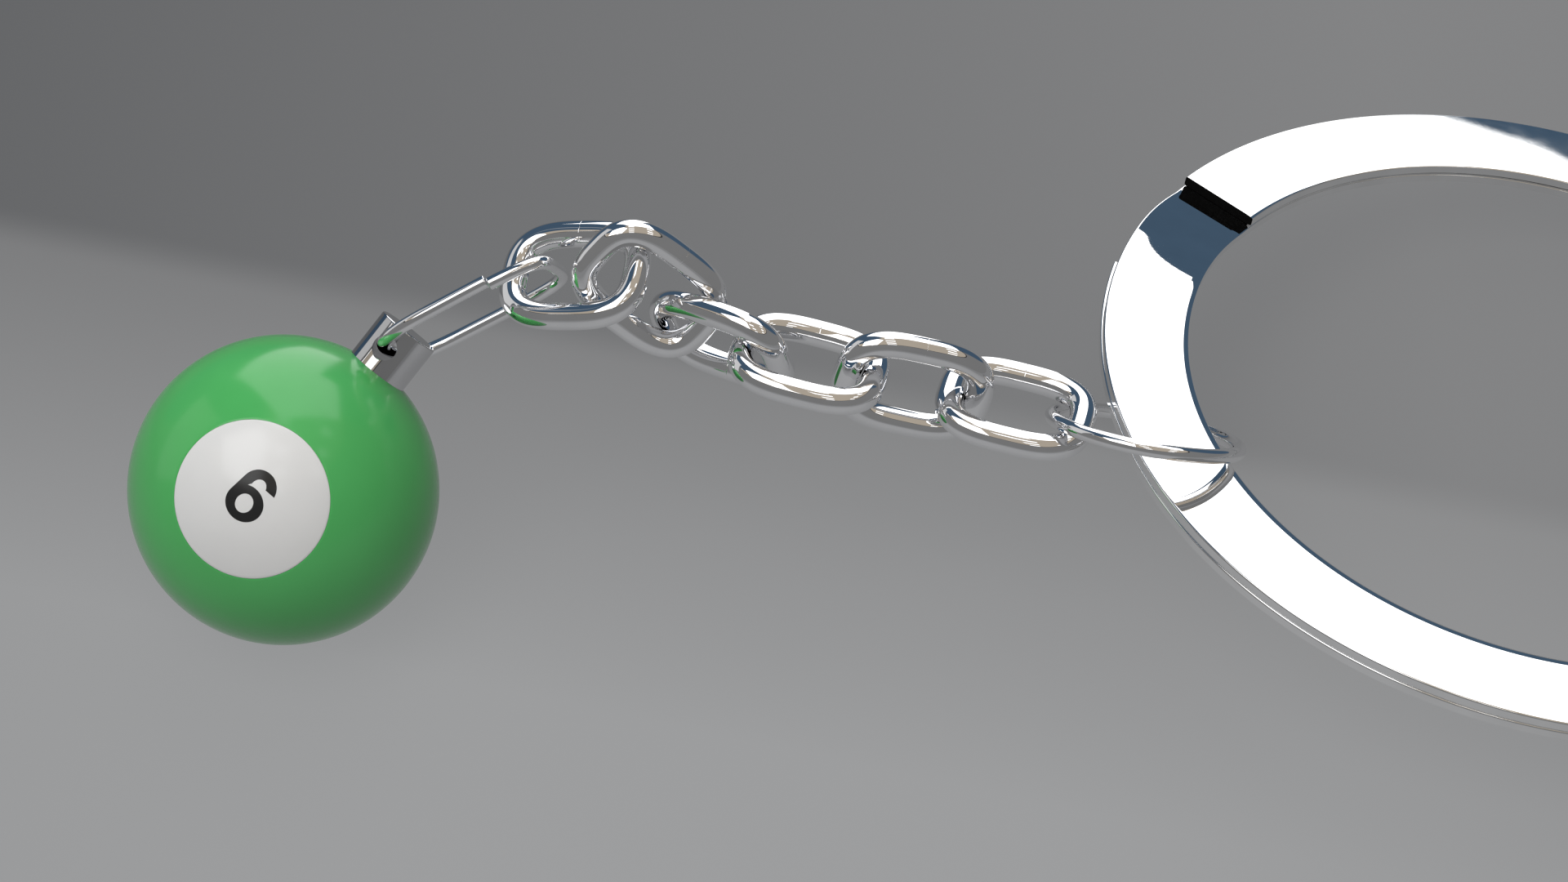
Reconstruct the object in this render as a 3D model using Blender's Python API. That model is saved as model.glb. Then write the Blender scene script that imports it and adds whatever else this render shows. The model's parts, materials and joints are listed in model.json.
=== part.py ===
"""A small numbered pool ball on a key chain.

The ball carries a turned cap with a cross hole.  An oval ring threads that hole and the first
of six chain links, and a round jump ring ties the last link to a flat two-turn split ring.
The ball and the far edge of the split ring stand on the ground plane z = 0; the split ring
leans up from there, so the chain climbs to the cap above the ball.

Frame: x runs from the ball to the split ring, y across, z up; the origin is under the middle
of the bounding box.  Lengths below are in millimetres and angles in degrees.
"""

import math

import bmesh
import bpy
from mathutils import Matrix, Vector

MM = 0.001

# Ball, with a number disc let into each of two opposite sides, square to local z.
BALL_R = 12.7
BALL_CENTRE = (-63.8, -3.6, 12.7)
BALL_TURN = (32.3, 38.2, 34.5)
DISC_R = 6.32
DISC_FLOOR = 10.35
DISC_GAP = 0.05
NUMERAL_FLOOR = 11.95
NUMERAL_GAP = 0.03
NUMERAL_FLOOR_GAP = 0.04
BALL_SEGMENTS = 48
BELT_STEPS = 20
DOME_STEPS = 6

# Numeral six, in its disc's plane: a bowl, and a tail hooked over it.  Half sizes are across and
# up, and angles run anticlockwise from the right.
BOWL_PLACE = (-0.06, -0.31)
BOWL_OUTSIDE = (1.59, 1.47)
BOWL_INSIDE = (0.72, 0.80)
TAIL_PLACE = (0.08, 1.30)
TAIL_OUTSIDE = (1.47, 1.48)
TAIL_INSIDE = (0.62, 0.75)
TAIL_OUTSIDE_END = 8
TAIL_INSIDE_END = 20
SIDE_TURN = 171
BOWL_END = 476
TAIL_INSIDE_START = 180
NOTCH_OPENING = 150
TAIL_STEPS = 14
TAIL_INSIDE_STEPS = 10
BOWL_STEPS = 30
COUNTER_STEPS = 24
PRISM_OVER = 1.0

# Cap: a cylinder on a stud, with a cross hole for the oval ring.  HOLE_TURN's local x is the
# cap's axis and its local z is the hole's.
CAP_R = 2.63
CAP_BASE = 12.4
CAP_TOP = 16.6
CAP_EDGE = 0.25
CAP_EDGE_BULGE = 0.3
CAP_SEGMENTS = 40
STUD_R = 1.25
STUD_TIP = 7.0
STUD_CHAMFER = 0.2
STUD_END_GAP = 0.1
SEAT_GAP = 0.05
HOLE_R = 1.05
HOLE_HEIGHT = 14.47
HOLE_TURN = (35, 35, 24)
HOLE_FLARE_DEPTH = 0.3
HOLE_OVER = 0.6
HOLE_SEGMENTS = 28

# Chain links: round wire bent to a rounded oblong, all alike.
LINK_HALF_LENGTH = 5.47
LINK_HALF_WIDTH = 3.83
LINK_POWER = 3.0
LINK_WIRE_R = 1.12
LINK_STEPS = 36
LINK_SIDES = 10
# Centre; heading, rise and roll; point it turns about.  From the ball's end to the ring's end.
LINK_PLACES = [
    ((-38.75, 4.25, 27.05), (-20, 13, 22), (-33.75, 2.45, 28.30)),
    ((-32.75, 2.70, 26.40), (-13, -43, 71), (-28.85, 0.60, 25.75)),
    ((-27.30, 0.65, 22.15), (-35, 5, 104), (-25.50, -1.40, 23.25)),
    ((-20.35, -3.00, 22.40), (-17, -9, -3), (-17.40, -3.60, 21.75)),
    ((-12.20, -4.05, 20.15), (-5, -17, 85), (-9.20, -3.90, 19.10)),
    ((-4.00, -5.40, 18.25), (-16, -9, 0), (-0.50, -3.75, 16.15)),
]

# Both thin rings are drawn with this many steps round the loop and round the wire.
THIN_STEPS = 44
THIN_SIDES = 8

# Oval ring between the cap and the first link.
OVAL_HALF_LENGTH = 7.64
OVAL_HALF_WIDTH = 4.2
OVAL_POWER = 4.0
OVAL_WIRE_R = 0.6
OVAL_CENTRE = (-47.3, 4.4, 23.9)
OVAL_TURN = (10, 23, 120)
OVAL_PIVOT = (-43.75, 6.05, 25.80)

# Round jump ring between the last link and the split ring.
ROUND_POWER = 2.0
JUMP_R = 7.65
JUMP_WIRE_R = 0.66
JUMP_CENTRE = (6.3, -7.25, 16.4)
JUMP_TURN = (-10, -10, -34)

# Split ring: a flat strip wound twice, stepping down one thickness where the turns meet.
RING_OUTER_R = 37.3
RING_INNER_R = 30.2
STRIP_THICK = 0.92
TURN_GAP = 0.05
STRIP_EDGE = 0.2
RING_CENTRE = (40.05, 0.0, 8.9)
RING_TURN = (-12, -12, -3)
STRIP_START = 150.0
STEP_START = -182.0
STEP_END = -208.0
STRIP_END = -540.0
TURN_STEPS = 66
STEP_STEPS = 8

# Fine steps used to space the points of a loop evenly.
SPACING_STEPS = 3600


def clear_scene():
    for obj in list(bpy.data.objects):
        bpy.data.objects.remove(obj, do_unlink=True)


def material(name, colour, roughness, metallic):
    made = bpy.data.materials.new(name)
    made.use_nodes = True
    shader = made.node_tree.nodes["Principled BSDF"]
    shader.inputs["Base Color"].default_value = (*colour, 1.0)
    shader.inputs["Roughness"].default_value = roughness
    shader.inputs["Metallic"].default_value = metallic
    return made


def turned(angles):
    """Rotation whose local x points along a heading and a rise, rolled about itself."""
    heading, rise, roll = (math.radians(a) for a in angles)
    return (
        Matrix.Rotation(heading, 4, "Z")
        @ Matrix.Rotation(-rise, 4, "Y")
        @ Matrix.Rotation(roll, 4, "X")
    )


def placed(centre, angles):
    return Matrix.Translation(Vector(centre) * MM) @ turned(angles)


def mesh_object(name, verts, faces, surface, smooth=True):
    mesh = bpy.data.meshes.new(name)
    mesh.from_pydata([Vector(v) * MM for v in verts], [], faces)
    mesh.polygons.foreach_set("use_smooth", [smooth] * len(mesh.polygons))
    mesh.update()
    obj = bpy.data.objects.new(name, mesh)
    bpy.context.scene.collection.objects.link(obj)
    if surface is not None:
        mesh.materials.append(surface)
    return obj


def loop_around(stations, profile, closed):
    """Faces between successive copies of a closed profile, capped at both ends if open."""
    faces = []
    spans = stations if closed else stations - 1
    for i in range(spans):
        j = (i + 1) % stations
        for k in range(profile):
            m = (k + 1) % profile
            faces.append(
                (i * profile + k, j * profile + k, j * profile + m, i * profile + m)
            )
    if not closed:
        faces.append(tuple(range(profile)))
        last = (stations - 1) * profile
        faces.append(tuple(last + k for k in reversed(range(profile))))
    return faces


def oblong(half_length, half_width, power, count):
    """Evenly spaced points round a superellipse in the local xy plane."""
    dense = []
    for i in range(SPACING_STEPS + 1):
        c = math.cos(2 * math.pi * i / SPACING_STEPS)
        s = math.sin(2 * math.pi * i / SPACING_STEPS)
        dense.append(
            Vector(
                (
                    half_length * math.copysign(abs(c) ** (2 / power), c),
                    half_width * math.copysign(abs(s) ** (2 / power), s),
                    0.0,
                )
            )
        )
    walked = [0.0]
    for a, b in zip(dense, dense[1:]):
        walked.append(walked[-1] + (b - a).length)
    points = []
    at = 0
    for i in range(count):
        target = walked[-1] * i / count
        while walked[at + 1] < target:
            at += 1
        share = (target - walked[at]) / (walked[at + 1] - walked[at])
        points.append(dense[at].lerp(dense[at + 1], share))
    return points


def wire_loop(name, points, radius, sides, surface):
    """Round wire bent into a closed flat loop through the points."""
    verts = []
    up = Vector((0, 0, 1))
    for i, point in enumerate(points):
        ahead = points[(i + 1) % len(points)] - points[i - 1]
        outward = ahead.cross(up).normalized()
        for k in range(sides):
            angle = 2 * math.pi * (k + 0.5) / sides
            verts.append(point + radius * (math.cos(angle) * outward + math.sin(angle) * up))
    return mesh_object(name, verts, loop_around(len(points), sides, True), surface)


def lathe(name, profile, segments, surface):
    """Solid of revolution about local z; profile runs (r, z) from pole to pole, bottom first."""
    verts = []
    rings = []
    for r, z in profile:
        if r == 0:
            rings.append([len(verts)])
            verts.append((0, 0, z))
            continue
        rings.append(list(range(len(verts), len(verts) + segments)))
        for i in range(segments):
            angle = 2 * math.pi * i / segments
            verts.append((r * math.cos(angle), r * math.sin(angle), z))
    faces = []
    for low, high in zip(rings, rings[1:]):
        for i in range(segments):
            j = (i + 1) % segments
            if len(low) == 1:
                faces.append((low[0], high[j], high[i]))
            elif len(high) == 1:
                faces.append((low[i], low[j], high[0]))
            else:
                faces.append((low[i], low[j], high[j], high[i]))
    return mesh_object(name, verts, faces, surface)


def ball_arc(start, end, steps):
    """Points (r, z) on the ball's surface between two angles from the disc axis."""
    points = []
    for i in range(steps + 1):
        angle = start + (end - start) * i / steps
        points.append((BALL_R * math.sin(angle), BALL_R * math.cos(angle)))
    return points


def boolean(obj, cutter, operation):
    cutter.hide_render = True
    cutter.display_type = "WIRE"
    modifier = obj.modifiers.new(operation.title(), "BOOLEAN")
    modifier.operation = operation
    modifier.object = cutter
    modifier.solver = "EXACT"


def oval_points(place, half, grow, start, end, steps):
    """Points along an ellipse whose half sizes are both enlarged by grow."""
    points = []
    for i in range(steps + 1):
        angle = math.radians(start + (end - start) * i / steps)
        across = (half[0] + grow) * math.cos(angle)
        points.append((place[0] + across, place[1] + (half[1] + grow) * math.sin(angle)))
    return points


def numeral_prism(name, floor, grow, surface):
    """The six as an upright prism: its bowl is open, and its tail hooks over to the right."""
    outer_end = TAIL_OUTSIDE_END - math.degrees(grow / TAIL_OUTSIDE[0])
    inner_end = TAIL_INSIDE_END - math.degrees(grow / TAIL_INSIDE[0])
    notch = BOWL_END - grow * NOTCH_OPENING
    outline = oval_points(TAIL_PLACE, TAIL_OUTSIDE, grow, outer_end, SIDE_TURN, TAIL_STEPS)
    outline += oval_points(BOWL_PLACE, BOWL_OUTSIDE, grow, SIDE_TURN, notch, BOWL_STEPS)
    outline += oval_points(
        TAIL_PLACE, TAIL_INSIDE, -grow, TAIL_INSIDE_START, inner_end, TAIL_INSIDE_STEPS
    )
    counter = oval_points(BOWL_PLACE, BOWL_INSIDE, -grow, 0, 360, COUNTER_STEPS)[:-1]
    work = bmesh.new()
    edges = []
    for loop in (outline, counter):
        corners = [
            work.verts.new((x * MM, y * MM, floor * MM)) for x, y in loop
        ]
        for a, b in zip(corners, corners[1:] + corners[:1]):
            edges.append(work.edges.new((a, b)))
    bmesh.ops.triangle_fill(work, edges=edges, use_beauty=True)
    risen = bmesh.ops.extrude_face_region(work, geom=list(work.faces))
    moved = [e for e in risen["geom"] if isinstance(e, bmesh.types.BMVert)]
    bmesh.ops.translate(work, verts=moved, vec=(0, 0, (BALL_R + PRISM_OVER - floor) * MM))
    bmesh.ops.recalc_face_normals(work, faces=list(work.faces))
    mesh = bpy.data.meshes.new(name)
    work.to_mesh(mesh)
    work.free()
    obj = bpy.data.objects.new(name, mesh)
    bpy.context.scene.collection.objects.link(obj)
    if surface is not None:
        mesh.materials.append(surface)
    return obj


def hang(objects, pivot):
    """Parents the pieces of one moving body to an empty at its joint."""
    empty = bpy.data.objects.new(objects[0].name + "_pivot", None)
    empty.matrix_world = Matrix.Translation(Vector(pivot) * MM)
    bpy.context.scene.collection.objects.link(empty)
    for obj in objects:
        where = obj.matrix_world.copy()
        obj.parent = empty
        obj.matrix_parent_inverse = empty.matrix_world.inverted()
        obj.matrix_world = where


def ease_in(share):
    """Level at the start and steepest at the end."""
    return share * share * (3 - share) / 2


def strip_stations():
    """(angle, height) along the strip's middle: upper turn, step down, lower turn."""
    level = (STRIP_THICK + TURN_GAP) / 2
    stations = []
    for i in range(TURN_STEPS + 1):
        angle = STRIP_START + (STEP_START - STRIP_START) * i / TURN_STEPS
        stations.append((angle, level))
    for i in range(1, STEP_STEPS + 1):
        share = i / STEP_STEPS
        angle = STEP_START + (STEP_END - STEP_START) * share
        stations.append((angle, level * (1 - 2 * ease_in(share))))
    for i in range(1, TURN_STEPS + 1):
        angle = STEP_END + (STRIP_END - STEP_END) * i / TURN_STEPS
        stations.append((angle, -level))
    return stations


def build_split_ring(surface):
    e = STRIP_EDGE
    h = STRIP_THICK / 2
    section = [
        (RING_INNER_R + e, -h),
        (RING_OUTER_R - e, -h),
        (RING_OUTER_R, -h + e),
        (RING_OUTER_R, h - e),
        (RING_OUTER_R - e, h),
        (RING_INNER_R + e, h),
        (RING_INNER_R, h - e),
        (RING_INNER_R, -h + e),
    ]
    verts = []
    stations = strip_stations()
    for angle, height in stations:
        c = math.cos(math.radians(angle))
        s = math.sin(math.radians(angle))
        for r, z in section:
            verts.append((r * c, r * s, z + height))
    faces = [tuple(reversed(f)) for f in loop_around(len(stations), len(section), False)]
    ring = mesh_object("split_ring", verts, faces, surface, smooth=False)
    ring.matrix_world = placed(RING_CENTRE, RING_TURN)
    return ring


def cap_frame():
    """Local z along the cap's axis, from the ball's centre."""
    to_cap = Matrix.Rotation(math.radians(90), 4, "Y")
    return placed(BALL_CENTRE, HOLE_TURN) @ to_cap


def build_ball(green, white, black):
    frame = placed(BALL_CENTRE, BALL_TURN)
    rim = math.asin((DISC_R + DISC_GAP) / BALL_R)
    floor = DISC_FLOOR - DISC_GAP
    pocket_r = DISC_R + DISC_GAP
    profile = [(0, -floor), (pocket_r, -floor)]
    profile += ball_arc(math.pi - rim, rim, BELT_STEPS)
    profile += [(pocket_r, floor), (0, floor)]
    body = lathe("ball_body", profile, BALL_SEGMENTS, green)
    bore = STUD_R + SEAT_GAP
    seat = CAP_BASE - SEAT_GAP
    bottom = STUD_TIP - STUD_END_GAP
    cut = [(0, bottom), (bore, bottom), (bore, seat)]
    cut += [(CAP_R + SEAT_GAP, seat), (CAP_R + SEAT_GAP, CAP_TOP), (0, CAP_TOP)]
    cutter = lathe("cap_seat_cutter", cut, CAP_SEGMENTS, None)
    boolean(body, cutter, "DIFFERENCE")
    body.matrix_world = frame
    cutter.matrix_world = cap_frame()
    pieces = [body]
    edge = math.asin(DISC_R / BALL_R)
    lens = [(0, DISC_FLOOR), (DISC_R, DISC_FLOOR)]
    lens += ball_arc(edge, 0, DOME_STEPS)[:-1] + [(0, BALL_R)]
    for side, half_turn in (("front", 0), ("back", 180)):
        facing = frame @ Matrix.Rotation(math.radians(half_turn), 4, "X")
        upright = facing @ Matrix.Rotation(math.radians(-90), 4, "Z")
        disc = lathe("number_disc_" + side, lens, BALL_SEGMENTS, white)
        disc.matrix_world = facing
        pocket_floor = NUMERAL_FLOOR - NUMERAL_FLOOR_GAP
        pocket = numeral_prism("pocket_cutter_" + side, pocket_floor, NUMERAL_GAP, None)
        pocket.matrix_world = upright
        boolean(disc, pocket, "DIFFERENCE")
        skin = lathe("numeral_skin_" + side, lens, BALL_SEGMENTS, None)
        skin.matrix_world = facing
        numeral = numeral_prism("numeral_" + side, NUMERAL_FLOOR, 0.0, black)
        numeral.matrix_world = upright
        boolean(numeral, skin, "INTERSECT")
        pieces += [disc, numeral]
    return pieces


def build_cap(surface):
    e = CAP_EDGE
    profile = [
        (0, STUD_TIP),
        (STUD_R - STUD_CHAMFER, STUD_TIP),
        (STUD_R, STUD_TIP + STUD_CHAMFER),
        (STUD_R, CAP_BASE),
        (CAP_R, CAP_BASE),
        (CAP_R, CAP_TOP - e),
        (CAP_R - e * CAP_EDGE_BULGE, CAP_TOP - e * CAP_EDGE_BULGE),
        (CAP_R - e, CAP_TOP),
        (0, CAP_TOP),
    ]
    cap = lathe("end_cap", profile, CAP_SEGMENTS, surface)
    cap.matrix_world = cap_frame()
    half = CAP_R + HOLE_OVER
    straight = CAP_R - HOLE_FLARE_DEPTH
    flare = HOLE_R + half - straight
    cut = [
        (0, -half),
        (flare, -half),
        (HOLE_R, -straight),
        (HOLE_R, straight),
        (flare, half),
        (0, half),
    ]
    cutter = lathe("cross_hole_cutter", cut, HOLE_SEGMENTS, None)
    cutter.matrix_world = placed(BALL_CENTRE, HOLE_TURN) @ Matrix.Translation(
        Vector((HOLE_HEIGHT * MM, 0, 0))
    )
    boolean(cap, cutter, "DIFFERENCE")
    return cap


def along(centre, angles, offset):
    """A point given in a piece's own frame, in millimetres in the object's frame."""
    return Vector(centre) + turned(angles).to_3x3() @ Vector(offset)


def main():
    clear_scene()
    green = material("ball_green", (0.06, 0.36, 0.10), 0.22, 0.0)
    white = material("disc_white", (0.80, 0.79, 0.77), 0.25, 0.0)
    black = material("numeral_black", (0.02, 0.02, 0.02), 0.3, 0.0)
    cap_chrome = material("cap_chrome", (0.72, 0.72, 0.73), 0.12, 1.0)
    link_chrome = material("link_chrome", (0.78, 0.78, 0.79), 0.08, 1.0)
    ring_steel = material("ring_steel", (0.74, 0.74, 0.75), 0.10, 1.0)
    small_ring = material("small_ring_chrome", (0.77, 0.77, 0.78), 0.08, 1.0)

    build_split_ring(ring_steel)

    circle = oblong(JUMP_R, JUMP_R, ROUND_POWER, THIN_STEPS)
    jump = wire_loop("jump_ring", circle, JUMP_WIRE_R, THIN_SIDES, small_ring)
    jump.matrix_world = placed(JUMP_CENTRE, JUMP_TURN)
    hang([jump], RING_CENTRE)

    outline = oblong(LINK_HALF_LENGTH, LINK_HALF_WIDTH, LINK_POWER, LINK_STEPS)
    for number, (centre, angles, pivot) in enumerate(LINK_PLACES, start=1):
        name = f"chain_link_{number}"
        link = wire_loop(name, outline, LINK_WIRE_R, LINK_SIDES, link_chrome)
        link.matrix_world = placed(centre, angles)
        hang([link], pivot)

    oblong_ring = oblong(OVAL_HALF_LENGTH, OVAL_HALF_WIDTH, OVAL_POWER, THIN_STEPS)
    oval = wire_loop("oval_ring", oblong_ring, OVAL_WIRE_R, THIN_SIDES, small_ring)
    oval.matrix_world = placed(OVAL_CENTRE, OVAL_TURN)
    hang([oval], OVAL_PIVOT)

    pieces = build_ball(green, white, black)
    pieces.append(build_cap(cap_chrome))
    hang(pieces, along(BALL_CENTRE, HOLE_TURN, (HOLE_HEIGHT, 0, 0)))


main()
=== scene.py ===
"""Looks for the pool-ball key chain: fine pieces, materials, floor, lights and camera.

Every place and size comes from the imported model's own nodes and joints.  Lengths below are in
millimetres unless a name says otherwise, and angles in degrees.
"""

import json
import math

import bmesh
import bpy
import numpy as np
from mathutils import Matrix, Vector


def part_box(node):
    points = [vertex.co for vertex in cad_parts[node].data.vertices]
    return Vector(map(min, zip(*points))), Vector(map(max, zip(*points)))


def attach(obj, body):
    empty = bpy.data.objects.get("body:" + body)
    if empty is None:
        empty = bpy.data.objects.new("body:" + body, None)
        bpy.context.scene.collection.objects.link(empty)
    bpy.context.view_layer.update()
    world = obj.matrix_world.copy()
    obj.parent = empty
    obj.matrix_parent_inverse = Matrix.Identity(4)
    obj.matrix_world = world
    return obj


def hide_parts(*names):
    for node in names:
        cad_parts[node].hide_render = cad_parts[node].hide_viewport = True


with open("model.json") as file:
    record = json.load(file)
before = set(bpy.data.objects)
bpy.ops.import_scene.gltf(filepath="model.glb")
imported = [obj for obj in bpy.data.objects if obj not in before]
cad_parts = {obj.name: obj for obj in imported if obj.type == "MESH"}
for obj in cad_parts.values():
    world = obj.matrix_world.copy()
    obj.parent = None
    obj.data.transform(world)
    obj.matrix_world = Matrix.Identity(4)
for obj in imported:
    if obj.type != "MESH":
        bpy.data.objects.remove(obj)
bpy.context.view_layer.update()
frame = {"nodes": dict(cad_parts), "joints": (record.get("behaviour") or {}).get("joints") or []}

MM = 0.001
# How far below the furthest vertex another still counts as level with it.
LEVEL_SLACK = 0.01
LINKS = [f"chain_link_{n}" for n in range(1, 7)]

# Camera.
CAMERA_AIM = (-22.8, -2.4, 13.4)
CAMERA_DISTANCE = 387.0
CAMERA_ELEVATION = 43.66
CAMERA_ROLL = -3.7
LENS = 108.75
SENSOR = 36
NEAREST_METRES = 0.01

# Wire loops.
ROUND_POWER = 2.0
LINK_POWER = 3.0
OVAL_POWER = 4.0
SPACING_STEPS = 7200
LOOP_STEPS = 220
WIRE_SIDES = 32
# Shares of the way round at which the seams lie.
LINK_SEAM = 0.25
JUMP_SEAM = 0.5
SEAM_WIDTH = 0.03
SEAM_DEPTH = 0.006
# Place along the seam in widths, and share of its depth.
SEAM_SHAPE = ((-1.5, 0), (-0.5, 0), (0, 1), (0.5, 0), (1.5, 0))
OVAL_GAP = 0.12
OVAL_GAP_PLACE = 2.9
OVAL_SPRUNG = -0.35
OVAL_EASE = 0.06
# Place behind the cut end and drop of the eased edge, both in shares of OVAL_EASE.
OVAL_END_SHAPE = ((0, 1.0), (0.3, 0.3), (1.0, 0))

# Turn between faces, in degrees, above which an edge is shown sharp.
CREASE = 28

# Ball and numeral.  The two eases are angles in radians.
BALL_SEGMENTS = 256
BELT_STEPS = 150
DOME_STEPS = 40
SHELL_LIP = 0.02
SHELL_EASE = 0.004
DISC_EDGE_GAP = 0.015
DISC_DEPTH = 0.9
DISC_FLOOR_GAP = 0.05
DISC_LIP = 0.02
DISC_EASE = 0.003
NUMERAL_DEPTH = 0.6
NUMERAL_GAP = 0.008
PRISM_OVER = 1.0
# The numeral's ellipses: half sizes are across and up, and angles run anticlockwise.
BOWL_PLACE = (-0.06, -0.31)
BOWL_OUTSIDE = (1.59, 1.47)
BOWL_INSIDE = (0.72, 0.80)
TAIL_PLACE = (0.08, 1.30)
TAIL_OUTSIDE = (1.47, 1.48)
TAIL_INSIDE = (0.62, 0.75)
TAIL_OUTSIDE_END = 8
TAIL_INSIDE_END = 20
SIDE_TURN = 171
BOWL_END = 476
TAIL_INSIDE_START = 180
# Degrees by which the notch opens for each millimetre that the outline grows.
NOTCH_OPENING = 150
TAIL_STEPS = 60
TAIL_INSIDE_STEPS = 40
BOWL_STEPS = 110
COUNTER_STEPS = 80

# Cap.
CAP_SEGMENTS = 128
CAP_EDGE = 0.16
CAP_EDGE_STEPS = 6
CAP_TIGHT = 0.02
SEAT_GAP = 0.03
STUD_R = 1.25
STUD_DEPTH = 1.5
HOLE_R = 1.05
HOLE_EASE = 0.05
HOLE_OVER = 0.5

# Split ring.
# Half sizes, across and down, of the strip's rounded edges.
OUTER_EDGE = (0.20, 0.20)
INNER_EDGE = (0.80, 0.16)
EDGE_STEPS = 10
EDGE_TIGHT = 0.03
STRIP_CREASE = 40
TURN_STEPS = 333
# The step down: the degrees that it takes, and how much later it starts at each edge.
RAMP_TURN = 26.0
RAMP_STEPS = 60
RAMP_LATE_INNER = 4.0
RAMP_LATE_OUTER = 14.0
# The lower turn runs this much further round than the upper one, and its end springs open.
LOWER_END_PAST = 10.0
END_SPREAD = 0.4
END_SAG = 0.15
SPREAD_TURN = 30.0
TURN_GAP = 0.03

# Materials.  Noise scales are in features per metre, and roughness runs from clean to smeared.
NOISE_LOW = 0.3
NOISE_HIGH = 0.7
CLOUD_SCALE = 120
RESIN_SMEAR_SCALE = 260
RESIN_SMEAR_STRETCH = (1, 2.2, 1)
PEEL_SCALE = 900
PEEL_STRENGTH = 0.05
PEEL_DEPTH = 0.01
RESIN_IOR = 1.5
RESIN_ROUGH = (0.14, 0.20)
NUMERAL_ROUGH = (0.16, 0.22)
BALL_GREENS = ((0.065, 0.36, 0.095), (0.072, 0.385, 0.105))
DISC_WHITES = ((0.62, 0.62, 0.615), (0.65, 0.65, 0.645))
NUMERAL_BLACKS = ((0.011, 0.011, 0.011), (0.016, 0.016, 0.016))
METAL_TONE_SCALE = 300
METAL_DULLER = 0.93
METAL_SMEAR_SCALE = 420
RUB_SCALE = 1500
RUB_STRENGTH = 0.06
RUB_DEPTH = 0.004
RING_RUB_DEPTH = 0.001
CHROME_TONE = (0.93, 0.93, 0.94)
CHROME_ROUGH = (0.006, 0.03)
CAP_TONE = (0.66, 0.66, 0.67)
CAP_ROUGH = (0.03, 0.07)
CAP_RUB_STRETCH = (6, 6, 1)
RING_TONE = (0.96, 0.96, 0.96)
RING_ROUGH = (0.004, 0.02)
CUT_GRAIN_SCALE = 2500
# Painted reflection: the cut ends are coloured near black for the dark they mirror, with a faint
# grain.
CUT_BLACKS = ((0.001, 0.001, 0.001), (0.004, 0.004, 0.004))
CUT_ROUGHNESS = 0.9
CUT_SHINE = 0.05
FLOOR_ROUGHNESS = 0.9

# Studio: directions are (azimuth from +y towards +x, elevation), and a patch adds its radius.
# Colours are linear light.
WALL_GREY = (0.185, 0.185, 0.185)
JOIN_DARK = (0.03, 0.03, 0.03)
JOIN_WIDE = 0.02
CEILING_TAN = (0.43, 0.375, 0.305)
CEILING_EDGE = 0.67
PANEL_WHITE = (1.6, 1.6, 1.6)
SLATE_BLUE = (0.053, 0.091, 0.141)
BLUE_PATCHES = ((-20, 25, 36), (-60, 60, 22), (45, 22, 24))
BOX_WHITE = (1.9, 1.9, 1.9)
BACK_BOX = ((-24, 31), (-17, 60), (34, 82), (68, 45), (34, 30.1), (28.6, 30.35), (25, 31.1))
BACK_SLIT = ((-23, 32), (0, 41), (24, 34), (15, -7), (9, -7))
FRONT_BOX = ((-164, 44), (-166, 80), (-75, 80), (-87, 56), (-122, 43))
DIM_WHITE = (0.60, 0.60, 0.60)
LEFT_BOX = ((-92, 14), (-66, 52), (-42, 27), (-75, -2))
OVERHEAD_WATTS = 7.5
OVERHEAD_PLACE = (-150, 62)
OVERHEAD_METRES_WIDE = 0.9
OVERHEAD_METRES_AWAY = 1.1
# Half widths of the edges between regions of the room, on unit directions.
PATCH_SOFT = 0.02
BOX_SOFT = 0.004
BACK_BOX_SOFT = 0.0012
CEILING_SOFT = 0.003
# Ceiling direction, spacing and lit share of the panels, on a ceiling one unit up.
CEILING_GRID = (("X", 0.62, 0.30), ("Y", 0.36, 0.34))

# Floor tones, glowing from the floor as painted light and shade either side of a soft fold.
# FLOOR_SPAN is the stretch of x that they change over.
FLOOR_REACH = 3000
FOLD_SLOPE = 0.38
FOLD_START = 11.5
FOLD_SOFT = 3.0
FOLD_FADE = 45.0
FLOOR_SPAN = (-95.0, 35.0)
# Painted light: the floor's base colour is nearly black, and the tones below glow from it as
# emission.
FLOOR_ALBEDO = (0.03, 0.03, 0.03)
# Painted shadow along the near side of the fold, darker at the left.
FOLD_SHADOW_LEFT = (0.150, 0.152, 0.156)
FOLD_SHADOW_RIGHT = (0.235, 0.237, 0.241)
# Painted pool of light near the pieces, and the painted dimmer floor outside it.
PAINTED_LIT_FLOOR = (0.300, 0.303, 0.309)
PAINTED_DIM_FLOOR = (0.185, 0.187, 0.191)
PAINTED_POOL_CENTRE = (-28.0, -25.0, 0.0)
PAINTED_POOL_INNER = 25.0
PAINTED_POOL_OUTER = 190.0
# Painted shade beyond the fold, darker towards the left.
FAR_SHADE_LEFT = (0.097, 0.100, 0.105)
FAR_SHADE_RIGHT = (0.192, 0.194, 0.198)


# ---------------------------------------------------------------- reading the frame


def node_points(node):
    """A CAD node's separate vertices, in millimetres."""
    obj = frame["nodes"][node]
    found = np.array([obj.matrix_world @ v.co for v in obj.data.vertices]) / MM
    return np.unique(found.round(4), axis=0)


def box_centre(node):
    low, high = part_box(node)
    return (Vector(low) + Vector(high)) / (2 * MM)


def own_axes(node):
    """Centre and principal axes of a node, longest first, with the half extents along them."""
    points = node_points(node)
    centre = points.mean(axis=0)
    spread = np.cov((points - centre).T)
    axes = np.linalg.eigh(spread)[1][:, ::-1]
    if np.linalg.det(axes) < 0:
        axes[:, 2] = -axes[:, 2]
    along = (points - centre) @ axes
    middle = (along.max(axis=0) + along.min(axis=0)) / 2
    half = (along.max(axis=0) - along.min(axis=0)) / 2
    return Vector(centre + axes @ middle), Matrix(axes.tolist()), half


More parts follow.
